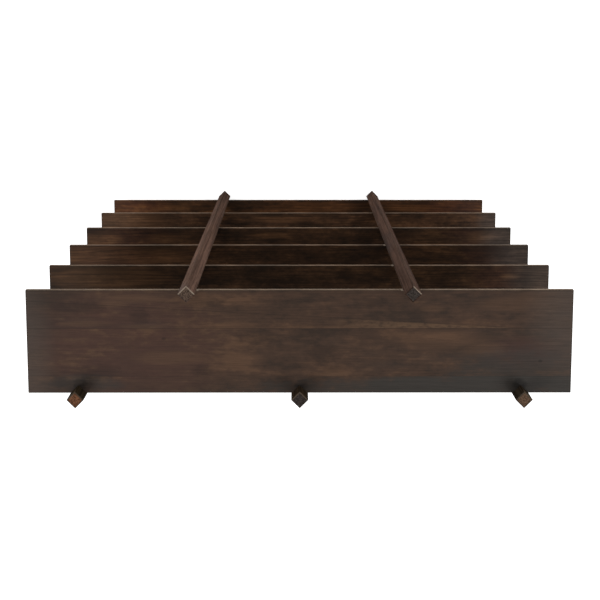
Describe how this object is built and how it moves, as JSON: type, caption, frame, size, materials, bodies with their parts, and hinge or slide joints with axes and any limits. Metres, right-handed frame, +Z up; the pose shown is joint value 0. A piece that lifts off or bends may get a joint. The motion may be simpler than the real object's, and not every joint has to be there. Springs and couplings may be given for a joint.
{
  "type": "open bookcase",
  "caption": "Tall open wooden bookcase: plank shelves held in V-notches between square posts set corner-on, joined by hidden cams and standing on small glides.",
  "frame": {"origin": "on the floor, in the middle of the case from left to right and front to back", "axes": "+Z up, +X to the right of a person who faces the front, front faces -Y"},
  "size_m": [1.4, 0.3162, 2.041],
  "materials": {
    "stained_shelf": "dark walnut stain under satin lacquer",
    "stained_post": "dark walnut stain under satin lacquer",
    "bright_steel": "bright zinc plated",
    "zinc": "die-cast, tumbled",
    "glide_nylon": "moulded brown nylon"
  },
  "bodies": {
    "root": {"shelf_1": "stained_shelf", "shelf_2": "stained_shelf", "shelf_3": "stained_shelf", "shelf_4": "stained_shelf", "shelf_5": "stained_shelf", "shelf_6": "stained_shelf", "post_front_left": "stained_post", "post_front_right": "stained_post", "post_back_left": "stained_post", "post_back_middle": "stained_post", "post_back_right": "stained_post", "cam_bolts_shelf_1": "bright_steel", "cam_bolts_shelf_2": "bright_steel", "cam_bolts_shelf_3": "bright_steel", "cam_bolts_shelf_4": "bright_steel", "cam_bolts_shelf_5": "bright_steel", "cam_bolts_shelf_6": "bright_steel", "cams_shelf_1": "zinc", "cams_shelf_2": "zinc", "cams_shelf_3": "zinc", "cams_shelf_4": "zinc", "cams_shelf_5": "zinc", "cams_shelf_6": "zinc", "glide_front_left": "glide_nylon", "glide_front_right": "glide_nylon", "glide_back_left": "glide_nylon", "glide_back_middle": "glide_nylon", "glide_back_right": "glide_nylon", "glide_nails": "bright_steel"}
  },
  "joints": []
}
